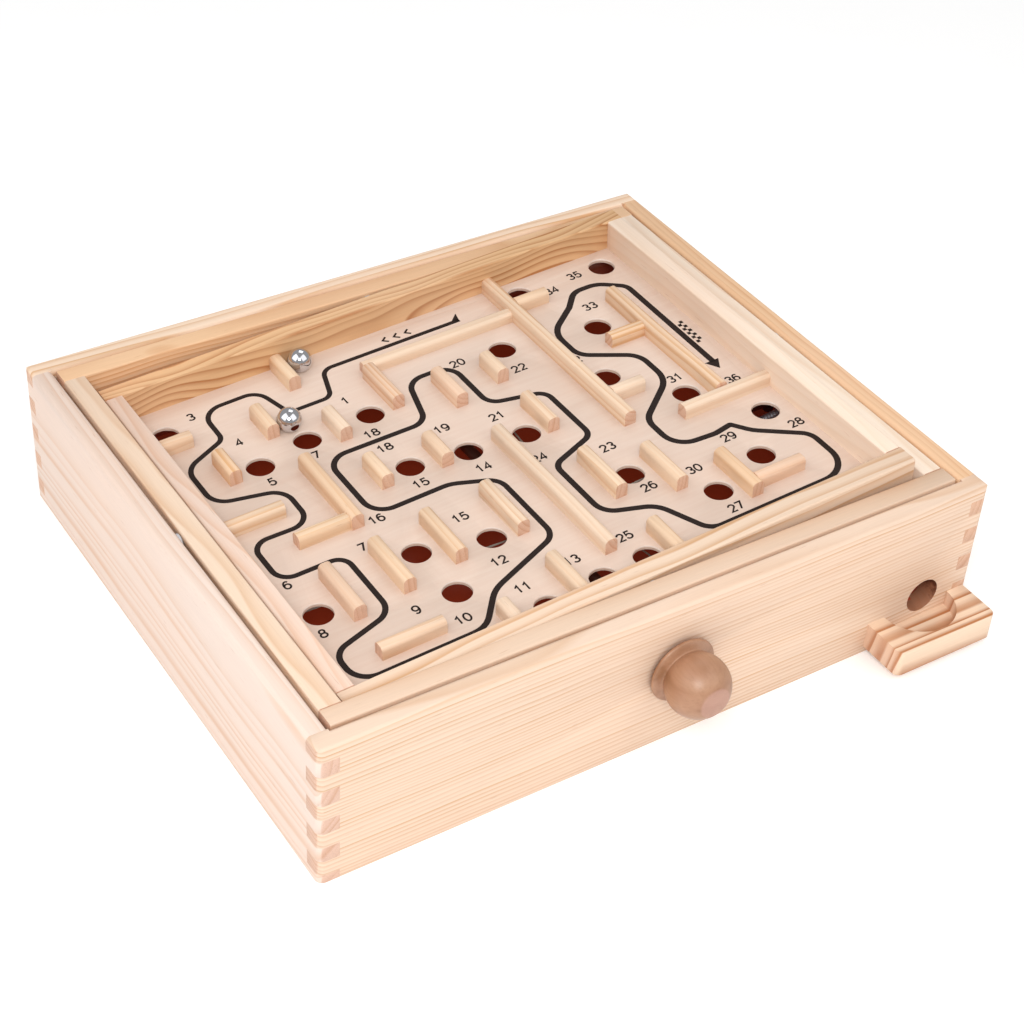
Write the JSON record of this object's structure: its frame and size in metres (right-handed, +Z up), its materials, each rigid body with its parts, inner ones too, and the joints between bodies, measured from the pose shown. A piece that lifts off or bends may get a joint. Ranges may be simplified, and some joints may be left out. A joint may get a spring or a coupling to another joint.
{
  "type": "tabletop tilt maze game",
  "caption": "Wooden tilt maze game: open box, two nested tilting frames worked by cord-driven knobs, holed maze floor, ball ramp and catcher.",
  "frame": {"origin": "middle of the box's front lower edge, at table height", "axes": "+X to the right, towards the side knob; +Y to the back, so the front knob and the ball catcher are on the -Y side; +Z up"},
  "size_m": [0.323, 0.275, 0.0737],
  "materials": {
    "pine": "oiled pine, fine straight grain",
    "pine_pale": "sanded pine",
    "plywood": "smooth plywood with printed path",
    "hardboard": "dark smooth hardboard",
    "pine_amber": "striped pine",
    "beech": "sanded beech",
    "ball_steel": "mirror polished",
    "steel": "bright drawn",
    "spring_steel": "dark",
    "white_plastic": "matte",
    "cord": "braided"
  },
  "bodies": {
    "box": {"front_wall": "pine", "back_wall": "pine", "left_wall": "pine", "right_wall": "pine", "ball_ramp": "hardboard", "ball_catcher": "pine_amber", "box_pivot_pins": "steel", "box_pivot_washers": "white_plastic"},
    "outer_frame": {"outer_frame_front": "pine_pale", "outer_frame_back": "pine_pale", "outer_frame_left": "pine_pale", "outer_frame_right": "pine_pale", "frame_pivot_pins": "steel", "frame_pivot_washers": "white_plastic", "outer_frame_cord_eyes": "steel", "outer_frame_cord": "cord", "outer_frame_cord_spring": "steel"},
    "tray": {"tray_front_rail": "pine_pale", "tray_back_rail": "pine_pale", "tray_left_rail": "pine_pale", "tray_right_rail": "pine_pale", "tray_floor": "plywood", "short_dividers": "pine_pale", "middle_dividers": "pine_pale", "medium_dividers": "pine_pale", "short_cross_strips": "pine_pale", "medium_cross_strips": "pine_pale", "left_rail_strip": "pine_pale", "long_divider_left": "pine_pale", "long_divider_centre": "pine_pale", "long_divider_back": "pine_pale", "finish_lane_divider": "pine_pale", "start_lane_strip": "pine_pale", "finish_lane_stop": "pine_pale", "tray_cord_eyes": "steel", "tray_cord": "cord", "tray_cord_spring": "steel"},
    "front_knob_shaft": {"front_knob": "beech", "front_rod": "steel", "front_rod_clip": "spring_steel", "tray_cord_coil": "cord"},
    "side_knob_shaft": {"side_knob": "beech", "side_rod": "steel", "side_rod_clip": "spring_steel", "outer_frame_cord_coil": "cord"},
    "ball_1": {"ball_1": "ball_steel"},
    "ball_2": {"ball_2": "ball_steel"}
  },
  "joints": [
    {"name": "outer_frame_tilt", "type": "hinge", "parent": "box", "child": "outer_frame", "pos_m": [0, 0.126, 0.061], "axis": [1, 0, 0], "range_deg": [-3.5, 3.5], "deforming": ["outer_frame_cord", "outer_frame_cord_spring"]},
    {"name": "tray_tilt", "type": "hinge", "parent": "outer_frame", "child": "tray", "pos_m": [0, 0.126, 0.061], "axis": [0, 1, 0], "range_deg": [-0.7, 7.7], "deforming": ["tray_cord", "tray_cord_spring"]},
    {"name": "front_knob_turn", "type": "hinge", "parent": "box", "child": "front_knob_shaft", "pos_m": [0.002, 0.126, 0.036], "axis": [0, 1, 0], "range_deg": [-8, 78]},
    {"name": "side_knob_turn", "type": "hinge", "parent": "box", "child": "side_knob_shaft", "pos_m": [0, 0.126, 0.0285], "axis": [1, 0, 0], "range_deg": [-43, 43]},
    {"name": "ball_1_roll", "type": "slide", "parent": "tray", "child": "ball_1", "axis": [0.9981, 0, 0.061], "range_m": [0, 0.085]},
    {"name": "ball_2_roll", "type": "slide", "parent": "tray", "child": "ball_2", "axis": [0.9981, 0, 0.061], "range_m": [0, 0.006]}
  ],
  "couplings": [
    {"joint": "front_knob_turn", "follows": "tray_tilt", "ratio": 10},
    {"joint": "side_knob_turn", "follows": "outer_frame_tilt", "ratio": 12}
  ]
}
